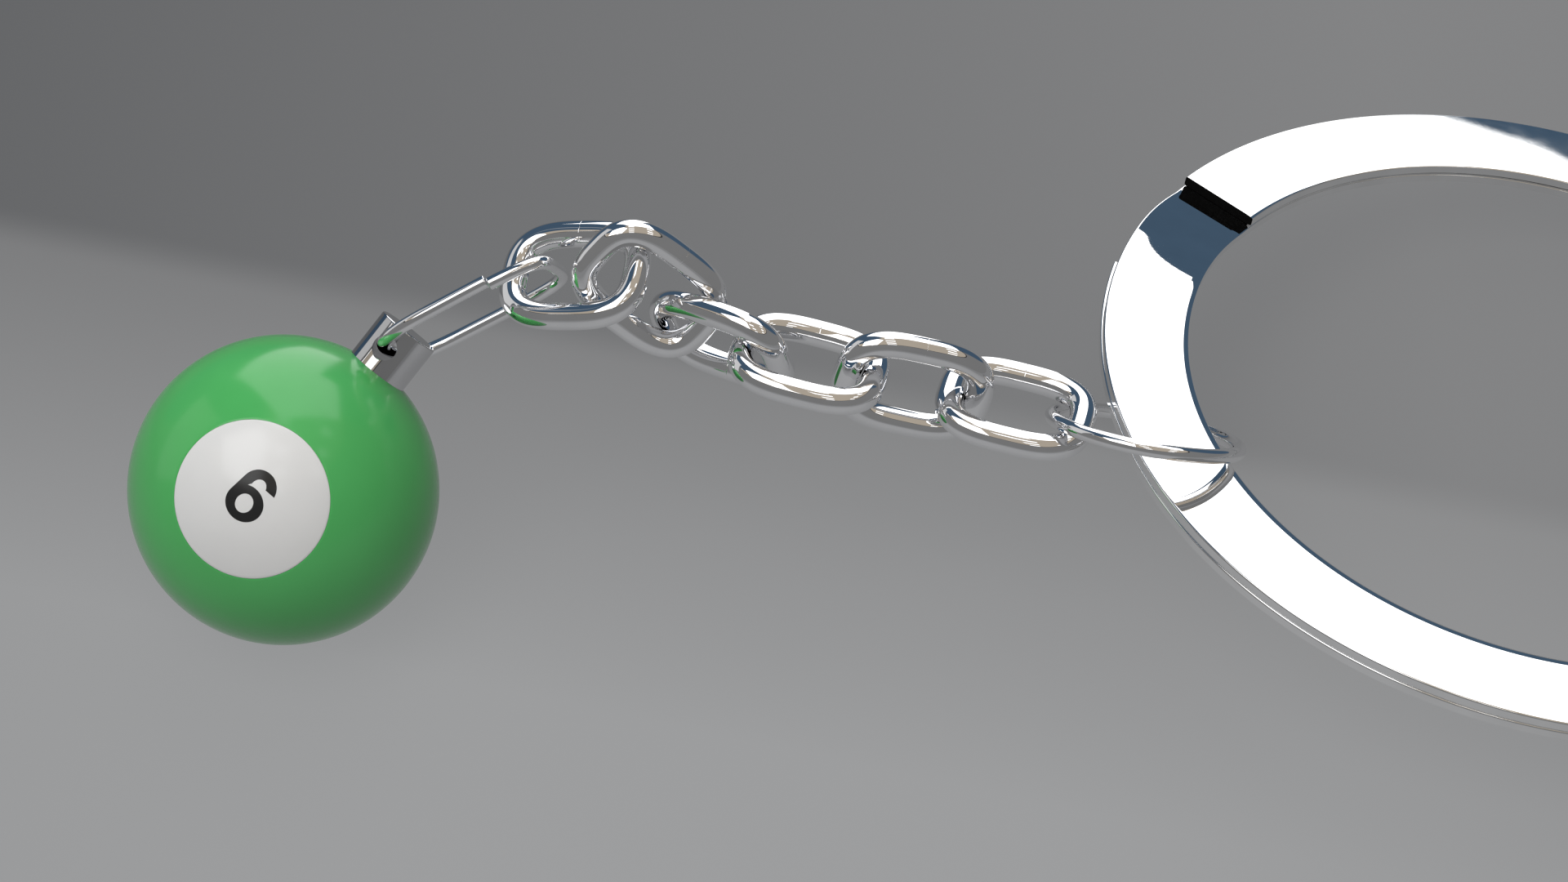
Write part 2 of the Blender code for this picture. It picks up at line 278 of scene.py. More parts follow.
def flat_normal(node):
    """Outward normal of a node's largest flat face."""
    areas = {}
    for face in frame["nodes"][node].data.polygons:
        key = tuple(round(c, 3) for c in face.normal)
        areas[key] = areas.get(key, 0) + face.area
    return Vector(max(areas, key=areas.get)).normalized()


def joint(name):
    """Pivot in millimetres and axis of a joint."""
    for found in frame["joints"]:
        if found["name"] == name:
            return Vector(found["pos_m"]) / MM, Vector(found["axis"]).normalized()
    raise KeyError(name)


def basis(z, x_hint):
    """Rotation whose third column is z and whose first is as near to x_hint as that allows."""
    z = z.normalized()
    x = (x_hint - z * z.dot(x_hint)).normalized()
    return Matrix((x, z.cross(x), z)).transposed()


# ---------------------------------------------------------------- mesh helpers


def mesh_object(name, verts, faces, surface, smooth=True):
    mesh = bpy.data.meshes.new(name)
    mesh.from_pydata([Vector(v) * MM for v in verts], [], faces)
    mesh.polygons.foreach_set("use_smooth", [smooth] * len(mesh.polygons))
    mesh.update()
    obj = bpy.data.objects.new(name, mesh)
    bpy.context.scene.collection.objects.link(obj)
    if surface is not None:
        mesh.materials.append(surface)
    return obj


def put(obj, centre, turn):
    obj.matrix_world = Matrix.Translation(centre * MM) @ turn.to_4x4()


def skin_loop(rows, closed, cap):
    """Quads between successive rows of a closed profile, with flat ends when it is open."""
    faces = []
    count = len(rows)
    width = len(rows[0])
    for i in range(count if closed else count - 1):
        j = (i + 1) % count
        for k in range(width):
            m = (k + 1) % width
            faces.append((i * width + k, j * width + k, j * width + m, i * width + m))
    if cap:
        faces.append(tuple(range(width)))
        faces.append(tuple((count - 1) * width + k for k in reversed(range(width))))
    return [v for row in rows for v in row], faces


def oblong(half_length, half_width, power, count, start=0.0):
    """Evenly spaced points round a superellipse, starting where its angle is start."""
    angle = np.linspace(0, 2 * np.pi, SPACING_STEPS + 1) + start
    c = np.cos(angle)
    s = np.sin(angle)
    x = half_length * np.sign(c) * np.abs(c) ** (2 / power)
    y = half_width * np.sign(s) * np.abs(s) ** (2 / power)
    walked = np.concatenate([[0], np.cumsum(np.hypot(np.diff(x), np.diff(y)))])
    at = walked[-1] * np.arange(count) / count
    return np.stack([np.interp(at, walked, x), np.interp(at, walked, y)], axis=1)


def towards_next(a, b):
    return (b - a) / np.hypot(*(b - a))


def wire_rows(path, radii, rises, closed, sides):
    """Circles of wire set square to a flat path, each with its own radius and height."""
    rows = []
    count = len(path)
    for i in range(count):
        before = path[i - 1] if closed or i else path[i]
        after = path[(i + 1) % count] if closed or i < count - 1 else path[i]
        step = after - before
        out = np.array([step[1], -step[0]]) / np.hypot(*step)
        row = []
        for k in range(sides):
            angle = 2 * math.pi * k / sides
            reach = radii[i] * math.cos(angle)
            row.append(
                (
                    path[i][0] + out[0] * reach,
                    path[i][1] + out[1] * reach,
                    rises[i] + radii[i] * math.sin(angle),
                )
            )
        rows.append(row)
    return rows


def seamed(path, radius, seam):
    """A closed path and its radii with a fine groove let in part of the way round."""
    spot = int(round(seam * len(path)))
    here = path[spot]
    along = towards_next(path[spot - 1], path[spot + 1])
    groove = [here + along * offset * SEAM_WIDTH for offset, _ in SEAM_SHAPE]
    depths = [SEAM_DEPTH * share for _, share in SEAM_SHAPE]
    points = np.array(list(path[:spot]) + groove + list(path[spot + 1 :]))
    radii = [radius] * spot + [radius - d for d in depths]
    radii += [radius] * (len(path) - spot - 1)
    return points, radii


def closed_wire(name, half, power, surface, seam):
    """A bent wire loop with a fine butt seam part of the way round."""
    radius = half[2]
    outline = oblong(half[0] - radius, half[1] - radius, power, LOOP_STEPS)
    path, radii = seamed(outline, radius, seam)
    rows = wire_rows(path, radii, [0.0] * len(path), True, WIRE_SIDES)
    verts, faces = skin_loop(rows, True, False)
    return mesh_object(name, verts, faces, surface)


def gapped(outline, front):
    """A closed path cut open near OVAL_GAP_PLACE on one long side, with close end points."""
    off_side = outline[:, 1] * front < 0
    miss = np.abs(outline[:, 0] - OVAL_GAP_PLACE) + 2 * outline[:, 0].max() * off_side
    path = np.roll(outline, -int(np.argmin(miss)), axis=0)
    offsets = [OVAL_GAP / 2 + OVAL_EASE * share for share, _ in OVAL_END_SHAPE]
    onward = towards_next(path[0], path[1])
    back = towards_next(path[0], path[-1])
    head = [path[0] + onward * o for o in offsets]
    tail = [path[0] + back * o for o in reversed(offsets)]
    clear = OVAL_GAP / 2 + 2 * OVAL_EASE
    body = [q for q in path[1:] if np.hypot(*(q - path[0])) > clear]
    return np.array(head + body + tail)


def open_wire(name, half, power, surface, front):
    """A wire loop with a butt gap in one long side, its two ends sprung slightly apart."""
    radius = half[2]
    outline = oblong(half[0] - radius, half[1] - radius, power, LOOP_STEPS, math.pi / 2)
    path = gapped(outline * np.array([1, front]), front)
    count = len(path)
    rises = [OVAL_SPRUNG * (i / (count - 1) - 0.5) for i in range(count)]
    radii = [radius] * count
    for i, (_, share) in enumerate(OVAL_END_SHAPE):
        radii[i] = radius - OVAL_EASE * share
        radii[-1 - i] = radius - OVAL_EASE * share
    verts, faces = skin_loop(wire_rows(path, radii, rises, False, WIRE_SIDES), False, True)
    if front < 0:
        faces = [tuple(reversed(f)) for f in faces]
    return mesh_object(name, verts, faces, surface)


def lathe(name, profile, segments, surface):
    """Solid of revolution about local z; profile runs (r, z) from pole to pole, bottom first."""
    verts = []
    rings = []
    for r, z in profile:
        first = len(verts)
        if r == 0:
            rings.append([first])
            verts.append((0, 0, z))
            continue
        rings.append(list(range(first, first + segments)))
        for i in range(segments):
            angle = 2 * math.pi * i / segments
            verts.append((r * math.cos(angle), r * math.sin(angle), z))
    faces = []
    for low, high in zip(rings, rings[1:]):
        for i in range(segments):
            j = (i + 1) % segments
            if len(low) == 1:
                faces.append((low[0], high[j], high[i]))
            elif len(high) == 1:
                faces.append((low[i], low[j], high[0]))
            else:
                faces.append((low[i], low[j], high[j], high[i]))
    return mesh_object(name, verts, faces, surface)


def oval_points(place, half, grow, start, end, steps):
    """Points along an ellipse whose half sizes are both enlarged by grow."""
    points = []
    for i in range(steps + 1):
        angle = math.radians(start + (end - start) * i / steps)
        across = (half[0] + grow) * math.cos(angle)
        points.append((place[0] + across, place[1] + (half[1] + grow) * math.sin(angle)))
    return points


def boolean(obj, cutter, operation):
    modifier = obj.modifiers.new(operation.title(), "BOOLEAN")
    modifier.operation = operation
    modifier.object = cutter
    modifier.solver = "EXACT"


def bake(obj, cutters):
    """Makes an object's modifiers part of its mesh, sharpens its creases and drops the cutters."""
    bpy.context.view_layer.update()
    graph = bpy.context.evaluated_depsgraph_get()
    made = bpy.data.meshes.new_from_object(obj.evaluated_get(graph))
    obj.modifiers.clear()
    obj.data = made
    made.polygons.foreach_set("use_smooth", [True] * len(made.polygons))
    made.set_sharp_from_angle(angle=math.radians(CREASE))
    for cutter in cutters:
        bpy.data.objects.remove(cutter, do_unlink=True)


# ---------------------------------------------------------------- materials


def new_material(name):
    made = bpy.data.materials.new(name)
    made.use_nodes = True
    tree = made.node_tree
    return made, tree, tree.nodes["Principled BSDF"]


def noise(tree, scale, detail=3.0, stretch=(1, 1, 1), distortion=0.0):
    """Object-space noise."""
    coords = tree.nodes.new("ShaderNodeTexCoord")
    mapping = tree.nodes.new("ShaderNodeMapping")
    mapping.inputs["Scale"].default_value = stretch
    texture = tree.nodes.new("ShaderNodeTexNoise")
    texture.inputs["Scale"].default_value = scale
    texture.inputs["Detail"].default_value = detail
    texture.inputs["Distortion"].default_value = distortion
    tree.links.new(coords.outputs["Object"], mapping.inputs["Vector"])
    tree.links.new(mapping.outputs["Vector"], texture.inputs["Vector"])
    return texture.outputs["Fac"]


def between(tree, value, low, high, from_low=NOISE_LOW, from_high=NOISE_HIGH):
    """A number running from low to high as value runs over its range."""
    node = tree.nodes.new("ShaderNodeMapRange")
    node.inputs["From Min"].default_value = from_low
    node.inputs["From Max"].default_value = from_high
    node.inputs["To Min"].default_value = low
    node.inputs["To Max"].default_value = high
    tree.links.new(value, node.inputs["Value"])
    return node.outputs["Result"]


def blend_colours(tree, share, first, second):
    node = tree.nodes.new("ShaderNodeMix")
    node.data_type = "RGBA"
    node.inputs["A"].default_value = (*first, 1)
    node.inputs["B"].default_value = (*second, 1)
    tree.links.new(share, node.inputs["Factor"])
    return node.outputs["Result"]


def bump(tree, shader, height, strength, depth_mm):
    node = tree.nodes.new("ShaderNodeBump")
    node.inputs["Strength"].default_value = strength
    node.inputs["Distance"].default_value = depth_mm * MM
    tree.links.new(height, node.inputs["Height"])
    tree.links.new(node.outputs["Normal"], shader.inputs["Normal"])


def resin(name, colours, rough):
    """Polished cast resin: faint clouding, a few soft smears in the gloss, fine orange peel."""
    made, tree, shader = new_material(name)
    cloud = between(tree, noise(tree, CLOUD_SCALE, detail=4), 0, 1)
    tree.links.new(blend_colours(tree, cloud, *colours), shader.inputs["Base Color"])
    smears = noise(tree, RESIN_SMEAR_SCALE, detail=6, stretch=RESIN_SMEAR_STRETCH, distortion=0.6)
    tree.links.new(between(tree, smears, *rough), shader.inputs["Roughness"])
    shader.inputs["IOR"].default_value = RESIN_IOR
    bump(tree, shader, noise(tree, PEEL_SCALE, detail=2), PEEL_STRENGTH, PEEL_DEPTH)
    return made


def chrome(name, tone, rough, stretch=(1, 1, 1), depth=RUB_DEPTH):
    """Plated, polished metal: mirror bright, with faint smears and hair-fine rub marks."""
    made, tree, shader = new_material(name)
    shader.inputs["Metallic"].default_value = 1.0
    dull = tuple(c * METAL_DULLER for c in tone)
    cloud = between(tree, noise(tree, METAL_TONE_SCALE, detail=5), 0, 1)
    tree.links.new(blend_colours(tree, cloud, dull, tone), shader.inputs["Base Color"])
    smears = noise(tree, METAL_SMEAR_SCALE, detail=6, distortion=0.4)
    tree.links.new(between(tree, smears, *rough), shader.inputs["Roughness"])
    bump(tree, shader, noise(tree, RUB_SCALE, stretch=stretch), RUB_STRENGTH, depth)
    return made


def painted_dark_end(name):
    """Sheared steel ends, left dull by the cutter, painted near black as the dark reflection they
    show.
    """
    made, tree, shader = new_material(name)
    grain = noise(tree, CUT_GRAIN_SCALE, detail=4)
    tree.links.new(blend_colours(tree, grain, *CUT_BLACKS), shader.inputs["Base Color"])
    shader.inputs["Roughness"].default_value = CUT_ROUGHNESS
    shader.inputs["Specular IOR Level"].default_value = CUT_SHINE
    return made


def make_materials():
    return {
        "ball_green": resin("ball_resin", BALL_GREENS, RESIN_ROUGH),
        "disc_white": resin("disc_resin", DISC_WHITES, RESIN_ROUGH),
        "numeral_black": resin("numeral_resin", NUMERAL_BLACKS, NUMERAL_ROUGH),
        "cap_chrome": chrome("cap_metal", CAP_TONE, CAP_ROUGH, CAP_RUB_STRETCH),
        "link_chrome": chrome("link_metal", CHROME_TONE, CHROME_ROUGH),
        "small_ring_chrome": chrome("small_ring_metal", CHROME_TONE, CHROME_ROUGH),
        "ring_steel": chrome("ring_metal", RING_TONE, RING_ROUGH, depth=RING_RUB_DEPTH),
        "cut_end": painted_dark_end("cut_end_metal"),
    }


# ---------------------------------------------------------------- pieces


def stand_for(piece, node, body):
    """Puts a finished piece in its node's stead, with its place moved into its mesh."""
    piece.data.transform(piece.matrix_world)
    piece.matrix_world = Matrix.Identity(4)
    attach(piece, body)
    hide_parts(node)


def build_links(surfaces):
    for number, node in enumerate(LINKS, start=1):
        centre, turn, half = own_axes(node)
        seam = LINK_SEAM if turn.col[1].y > 0 else 1 - LINK_SEAM
        piece = closed_wire(
            f"link_wire_{number}", half, LINK_POWER, surfaces["link_chrome"], seam
        )
        put(piece, centre, turn)
        stand_for(piece, node, f"link_{number}")


def build_jump_ring(surfaces):
    centre, turn, half = own_axes("jump_ring")
    turn = basis(turn.col[2], Vector((1, 0, 0)))
    size = (half[0], half[0], half[2])
    surface = surfaces["small_ring_chrome"]
    piece = closed_wire("jump_wire", size, ROUND_POWER, surface, JUMP_SEAM)
    put(piece, centre, turn)
    stand_for(piece, "jump_ring", "jump_ring")


def build_oval_ring(surfaces):
    centre, turn, half = own_axes("oval_ring")
    to_link = box_centre("chain_link_1") - centre
    x = turn.col[0] * math.copysign(1, turn.col[0].dot(to_link))
    z = turn.col[2] * math.copysign(1, turn.col[2].z)
    turn = basis(z, x)
    front = 1 if turn.col[1].y < 0 else -1
    piece = open_wire("oval_wire", half, OVAL_POWER, surfaces["small_ring_chrome"], front)
    put(piece, centre, turn)
    stand_for(piece, "oval_ring", "oval_ring")


def strip_layout():
    """Place and turn of the ring, angles of its start and step down, radii and upper height."""
    centre, axis = joint("jump_ring_travel")
    turn = basis(axis, Vector((1, 0, 0)))
    local = (node_points("split_ring") - np.array(centre)) @ np.array(turn)
    top = local[local[:, 2] > local[:, 2].max() - LEVEL_SLACK]
    angles = np.sort(np.degrees(np.arctan2(top[:, 1], top[:, 0])))
    gaps = np.diff(np.append(angles, angles[0] + 360))
    widest = int(np.argmax(gaps))
    start = angles[widest]
    step = start + gaps[widest] - 360
    radii = np.hypot(local[:, 0], local[:, 1])
    return centre, turn, start, step, radii.min(), radii.max(), local[:, 2].max()


def beside(point, turn):
    """The support point a little way off in the direction turn."""
    angle = math.radians(turn)
    return point[0] + EDGE_TIGHT * math.cos(angle), point[1] + EDGE_TIGHT * math.sin(angle)


def rounded_section(inner, outer, thick):
    """Flat strip's section with rounded edges and tight support points beside each flat."""
    h = thick / 2
    section = []
    for side, half, start in (
        (outer - OUTER_EDGE[0], OUTER_EDGE, -90),
        (outer - OUTER_EDGE[0], OUTER_EDGE, 0),
        (inner + INNER_EDGE[0], INNER_EDGE, 90),
        (inner + INNER_EDGE[0], INNER_EDGE, 180),
    ):
        height = h - half[1] if start in (0, 90) else half[1] - h
        rounding = oval_points((side, height), half, 0, start, start + 90, EDGE_STEPS)
        section.append(beside(rounding[0], start - 90))
        section += rounding
        section.append(beside(rounding[-1], start + 180))
    return section


def ease_in(share):
    """Level at the start and steepest at the end."""
    return share * share * (3 - share) / 2


def strip_angles(start, step):
    """Ring angles of the strip's cross sections, closer together on the step down."""
    ramp_end = step - RAMP_TURN
    upper = np.linspace(start, step, TURN_STEPS)
    ramp = np.linspace(step, ramp_end, RAMP_STEPS)[1:-1]
    lower = np.linspace(ramp_end, ramp_end + step - start - LOWER_END_PAST, TURN_STEPS)
    return [float(a) for a in np.concatenate([upper, ramp, lower])]


def strip_height(angle, across, step, level):
    """Height of the strip's middle; the step down starts later towards the outer edge."""
    begin = step - RAMP_LATE_INNER - (RAMP_LATE_OUTER - RAMP_LATE_INNER) * across
    share = (begin - angle) / (begin - (step - RAMP_TURN))
    return level * (1 - 2 * ease_in(min(max(share, 0.0), 1.0)))


def sprung_share(angle, end):
    """How far the lower end has sprung open, from 0 to 1 at the cut."""
    share = min(max(1 - (angle - end) / SPREAD_TURN, 0.0), 1.0)
    return share * share


def build_split_ring(surfaces):
    """The flat strip, wound twice, with cut ends painted black as a dark reflection."""
    centre, turn, start, step, inner, outer, top = strip_layout()
    thick = top - TURN_GAP / 2
    level = top - thick / 2
    section = rounded_section(inner, outer, thick)
    angles = strip_angles(start, step)
    rows = []
    for angle in angles:
        c = math.cos(math.radians(angle))
        s = math.sin(math.radians(angle))
        sprung = sprung_share(angle, angles[-1])
        row = []
        for r, z in section:
            height = strip_height(angle, (r - inner) / (outer - inner), step, level)
            out = r + END_SPREAD * sprung
            row.append((out * c, out * s, z + height - END_SAG * sprung))
        rows.append(row)
    verts, faces = skin_loop(rows, False, True)
    faces = [tuple(reversed(f)) for f in faces]
    piece = mesh_object("strip_two_turns", verts, faces, surfaces["ring_steel"])
    piece.data.set_sharp_from_angle(angle=math.radians(STRIP_CREASE))
    piece.data.materials.append(surfaces["cut_end"])
    for face in piece.data.polygons[-2:]:
        face.material_index = 1
    put(piece, centre, turn)
    stand_for(piece, "split_ring", "split_ring")


def ball_points(radius, start, end, steps):
    points = []
    for i in range(steps + 1):
        angle = start + (end - start) * i / steps
        points.append((radius * math.sin(angle), radius * math.cos(angle)))
    return points


def ball_layout():
    low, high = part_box("ball_body")
    radius = (high[0] - low[0]) / (2 * MM)
    centre = box_centre("ball_body")
    axis = flat_normal("end_cap")
    disc = -flat_normal("number_disc_front")
    reach = node_points("number_disc_front") - np.array(centre)
    along = reach @ np.array(disc)
    rim = np.linalg.norm(reach - np.outer(along, np.array(disc)), axis=1).max()
    return centre, radius, axis, disc, rim


def numeral_prism(name, floor, top, grow):
    """The six as an upright prism: its bowl is open, and its tail hooks over to the right."""
    outer_end = TAIL_OUTSIDE_END - math.degrees(grow / TAIL_OUTSIDE[0])
    inner_end = TAIL_INSIDE_END - math.degrees(grow / TAIL_INSIDE[0])
    notch = BOWL_END - grow * NOTCH_OPENING
    outline = oval_points(TAIL_PLACE, TAIL_OUTSIDE, grow, outer_end, SIDE_TURN, TAIL_STEPS)
    outline += oval_points(BOWL_PLACE, BOWL_OUTSIDE, grow, SIDE_TURN, notch, BOWL_STEPS)
    outline += oval_points(
        TAIL_PLACE, TAIL_INSIDE, -grow, TAIL_INSIDE_START, inner_end, TAIL_INSIDE_STEPS
    )
    counter = oval_points(BOWL_PLACE, BOWL_INSIDE, -grow, 0, 360, COUNTER_STEPS)[:-1]
    work = bmesh.new()
    edges = []
    for loop in (outline, counter):
        corners = [work.verts.new((x * MM, y * MM, floor * MM)) for x, y in loop]
        for a, b in zip(corners, corners[1:] + corners[:1]):
            edges.append(work.edges.new((a, b)))
    bmesh.ops.triangle_fill(work, edges=edges, use_beauty=True)
    risen = bmesh.ops.extrude_face_region(work, geom=list(work.faces))
    moved = [e for e in risen["geom"] if isinstance(e, bmesh.types.BMVert)]
    bmesh.ops.translate(work, verts=moved, vec=(0, 0, (top - floor) * MM))
    bmesh.ops.recalc_face_normals(work, faces=list(work.faces))
    mesh = bpy.data.meshes.new(name)
    work.to_mesh(mesh)
    work.free()
    obj = bpy.data.objects.new(name, mesh)
    bpy.context.scene.collection.objects.link(obj)
    return obj


def build_shell(surface, layout):
    """The green ball with its two disc recesses and the cap's seat."""
    centre, radius, cap_axis, disc_axis, rim = layout
    edge = rim + DISC_EDGE_GAP
    spread = math.asin(edge / radius)
    lip = radius * math.cos(spread)
    depth = lip - DISC_DEPTH
    south = [(0, -depth), (edge, -depth), (edge, SHELL_LIP - lip)]
    eased = spread + SHELL_EASE
    belt = ball_points(radius, math.pi - eased, eased, BELT_STEPS)
    north = [(r, -z) for r, z in reversed(south)]
    shell = lathe("ball_shell", south + belt + north, BALL_SEGMENTS, surface)
    put(shell, centre, basis(disc_axis, cap_axis))
    wide, base, top = cap_sizes(centre, cap_axis)
    seat = base - SEAT_GAP
    cut = [(0, seat), (wide + SEAT_GAP, seat), (wide + SEAT_GAP, top), (0, top)]
    cutter = lathe("seat_cutter", cut, CAP_SEGMENTS, None)
    put(cutter, centre, basis(cap_axis, disc_axis))
    boolean(shell, cutter, "DIFFERENCE")
    bake(shell, [cutter])
    stand_for(shell, "ball_body", "ball")


def disc_profile(radius, rim):
    """A shallow lens: flat below, part of the ball's surface above."""
    edge = math.asin(rim / radius)
    lip = radius * math.cos(edge)
    floor = lip - DISC_DEPTH + DISC_FLOOR_GAP
    dome = ball_points(radius, edge - DISC_EASE, 0, DOME_STEPS)[:-1]
    return [(0, floor), (rim, floor), (rim, lip - DISC_LIP)] + dome + [(0, radius)]


def build_disc(side, way, surfaces, layout):
    """One white disc with its numeral let in."""
    centre, radius, cap_axis, disc_axis, rim = layout
    outward = disc_axis * way
    face = basis(outward, cap_axis.cross(outward))
    profile = disc_profile(radius, rim)
    top = radius + PRISM_OVER
    floor = radius - NUMERAL_DEPTH
    disc = lathe(f"disc_{side}", profile, BALL_SEGMENTS, surfaces["disc_white"])
    pocket = numeral_prism(f"pocket_{side}", floor - NUMERAL_GAP, top, NUMERAL_GAP)
    skin = lathe(f"skin_{side}", profile, BALL_SEGMENTS, None)
    numeral = numeral_prism(f"six_{side}", floor, top, 0.0)
    numeral.data.materials.append(surfaces["numeral_black"])
    for piece in (disc, pocket, skin, numeral):
        put(piece, centre, face)
    boolean(disc, pocket, "DIFFERENCE")
    boolean(numeral, skin, "INTERSECT")
    bake(disc, [pocket])
    bake(numeral, [skin])
    stand_for(disc, f"number_disc_{side}", "ball")
    stand_for(numeral, f"numeral_{side}", "ball")


def build_ball(surfaces):
    layout = ball_layout()
    build_shell(surfaces["ball_green"], layout)
    build_disc("front", 1, surfaces, layout)
    build_disc("back", -1, surfaces, layout)


def cap_sizes(centre, axis):
    """Cap radius, cap base and cap top, from the cap's own vertices."""
    points = node_points("end_cap") - np.array(centre)
    along = points @ np.array(axis)
    out = np.linalg.norm(points - np.outer(along, np.array(axis)), axis=1)
    wide = along[out > out.max() - LEVEL_SLACK]
    return out.max(), wide.min(), along.max()


def hole_cutter(wide):
    """A bar with cones at both ends, which eases the hole's two mouths."""
    half = wide + HOLE_OVER
    flare = HOLE_R + HOLE_EASE + HOLE_OVER
    cut = [(0, -half), (flare, -half), (HOLE_R, HOLE_EASE - wide)]
    cut += [(HOLE_R, wide - HOLE_EASE), (flare, half), (0, half)]
    return lathe("hole_cutter", cut, CAP_SEGMENTS, None)


def build_cap(surfaces):
    """The turned cap, with a short hidden stud and the cross hole."""
    centre, _, cap_axis, disc_axis, _ = ball_layout()
    wide, base, top = cap_sizes(centre, cap_axis)
    hole_point, hole_axis = joint("ball_swing")
    e = CAP_EDGE
    tight = CAP_TIGHT
    foot = base - STUD_DEPTH
    profile = [(0, foot), (STUD_R, foot), (STUD_R, base), (wide - tight, base), (wide, base)]
    profile += [(wide, base + tight), (wide, top - e - tight)]
    profile += oval_points((wide - e, top - e), (e, e), 0, 0, 90, CAP_EDGE_STEPS)
    profile += [(wide - e - tight, top), (wide / 2, top), (0, top)]
    cap = lathe("cap_turned", profile, BALL_SEGMENTS, surfaces["cap_chrome"])
    put(cap, centre, basis(cap_axis, disc_axis))
    cutter = hole_cutter(wide)
    put(cutter, hole_point, basis(hole_axis, cap_axis))
    boolean(cap, cutter, "DIFFERENCE")
    bake(cap, [cutter])
    stand_for(cap, "end_cap", "ball")


# ---------------------------------------------------------------- stage


def towards(azimuth, elevation):
    """Unit direction; azimuth is measured from +y towards +x."""
    a = math.radians(azimuth)
    e = math.radians(elevation)
    return Vector((math.sin(a) * math.cos(e), math.cos(a) * math.cos(e), math.sin(e)))


def step_up(tree, value, edge, soft):
    """0 below an edge and 1 above it, with a soft change."""
    made = between(tree, value, 0, 1, edge - soft, edge + soft)
    made.node.interpolation_type = "SMOOTHSTEP"
    return made


def calculate(tree, operation, *values):
    node = tree.nodes.new("ShaderNodeMath")
    node.operation = operation
    for entry, value in zip(node.inputs, values):
        if isinstance(value, (int, float)):
            entry.default_value = value
        else:
            tree.links.new(value, entry)
    return node.outputs[0]


def facing(tree, vector, direction):
    node = tree.nodes.new("ShaderNodeVectorMath")
    node.operation = "DOT_PRODUCT"
    node.inputs[1].default_value = direction
    tree.links.new(vector, node.inputs[0])
    return node.outputs["Value"]


def region(tree, vector, corners, soft):
    """1 inside a spherical polygon whose corners run clockwise seen from outside."""
    inside = None
    rays = [towards(*c) for c in corners]
    for a, b in zip(rays, rays[1:] + rays[:1]):
        side = step_up(tree, facing(tree, vector, a.cross(b).normalized()), 0, soft)
        inside = side if inside is None else calculate(tree, "MULTIPLY", inside, side)
    return inside


def spot(tree, vector, patch, soft):
    """1 inside a round patch given as azimuth, elevation and radius."""
    reach = math.cos(math.radians(patch[2]))
    return step_up(tree, facing(tree, vector, towards(*patch[:2])), reach, soft)


def layer(tree, below, colour, share):
    """A colour laid over what is below it by a share."""
    node = tree.nodes.new("ShaderNodeMix")
    node.data_type = "RGBA"
    tree.links.new(share, node.inputs["Factor"])
    tree.links.new(below, node.inputs["A"])
    node.inputs["B"].default_value = (*colour, 1)
    return node.outputs["Result"]


def ceiling_panels(tree, parts):
    """Rows of small bright panels on a level ceiling, as shares from 0 to 1."""
    share = None
    for axis, every, wide in CEILING_GRID:
        flat = calculate(tree, "DIVIDE", parts.outputs[axis], parts.outputs["Z"])
        place = calculate(tree, "FRACT", calculate(tree, "DIVIDE", flat, every))
        lit = calculate(tree, "LESS_THAN", place, wide)
        share = lit if share is None else calculate(tree, "MULTIPLY", share, lit)
    return share


def build_world():
    """Grey studio walls under a tan lit ceiling, a slate-blue gap behind, and white softboxes."""
    world = bpy.data.worlds.new("room")
    bpy.context.scene.world = world
    world.use_nodes = True
    tree = world.node_tree
    background = tree.nodes["Background"]
    vector = tree.nodes.new("ShaderNodeTexCoord").outputs["Generated"]
    parts = tree.nodes.new("ShaderNodeSeparateXYZ")
    tree.links.new(vector, parts.inputs["Vector"])
    height = parts.outputs["Z"]
    room = tree.nodes.new("ShaderNodeRGB").outputs[0]
    room.default_value = (*WALL_GREY, 1)
    join = step_up(tree, height, CEILING_EDGE - JOIN_WIDE, CEILING_SOFT)
    room = layer(tree, room, JOIN_DARK, join)
    ceiling = step_up(tree, height, CEILING_EDGE, CEILING_SOFT)
    room = layer(tree, room, CEILING_TAN, ceiling)
    panels = calculate(tree, "MULTIPLY", ceiling, ceiling_panels(tree, parts))
    room = layer(tree, room, PANEL_WHITE, panels)
    for patch in BLUE_PATCHES:
        room = layer(tree, room, SLATE_BLUE, spot(tree, vector, patch, PATCH_SOFT))
    room = layer(tree, room, DIM_WHITE, region(tree, vector, LEFT_BOX, PATCH_SOFT))
    room = layer(tree, room, BOX_WHITE, region(tree, vector, FRONT_BOX, BOX_SOFT))
    room = layer(tree, room, BOX_WHITE, region(tree, vector, BACK_BOX, BACK_BOX_SOFT))
    room = layer(tree, room, BOX_WHITE, region(tree, vector, BACK_SLIT, BOX_SOFT))
    tree.links.new(room, background.inputs["Color"])


def build_lights():
    """One broad overhead lamp that lights the pieces without showing in the chrome."""
    lamp = bpy.data.lights.new("overhead", "AREA")
    lamp.shape = "DISK"
    lamp.size = OVERHEAD_METRES_WIDE
    lamp.energy = OVERHEAD_WATTS
    obj = bpy.data.objects.new("overhead", lamp)
    away = towards(*OVERHEAD_PLACE)
    obj.location = away * OVERHEAD_METRES_AWAY
    obj.rotation_euler = away.to_track_quat("Z", "Y").to_euler()
    obj.visible_glossy = False
    bpy.context.scene.collection.objects.link(obj)


def painted_pool_edge(tree, place):
    """0 in the painted pool of light on the floor and 1 outside it."""
    node = tree.nodes.new("ShaderNodeVectorMath")
    node.operation = "DISTANCE"
    node.inputs[1].default_value = Vector(PAINTED_POOL_CENTRE) * MM
    tree.links.new(place, node.inputs[0])
    made = between(tree, node.outputs["Value"], 0, 1, PAINTED_POOL_INNER * MM, PAINTED_POOL_OUTER * MM)
    made.node.interpolation_type = "SMOOTHSTEP"
    return made


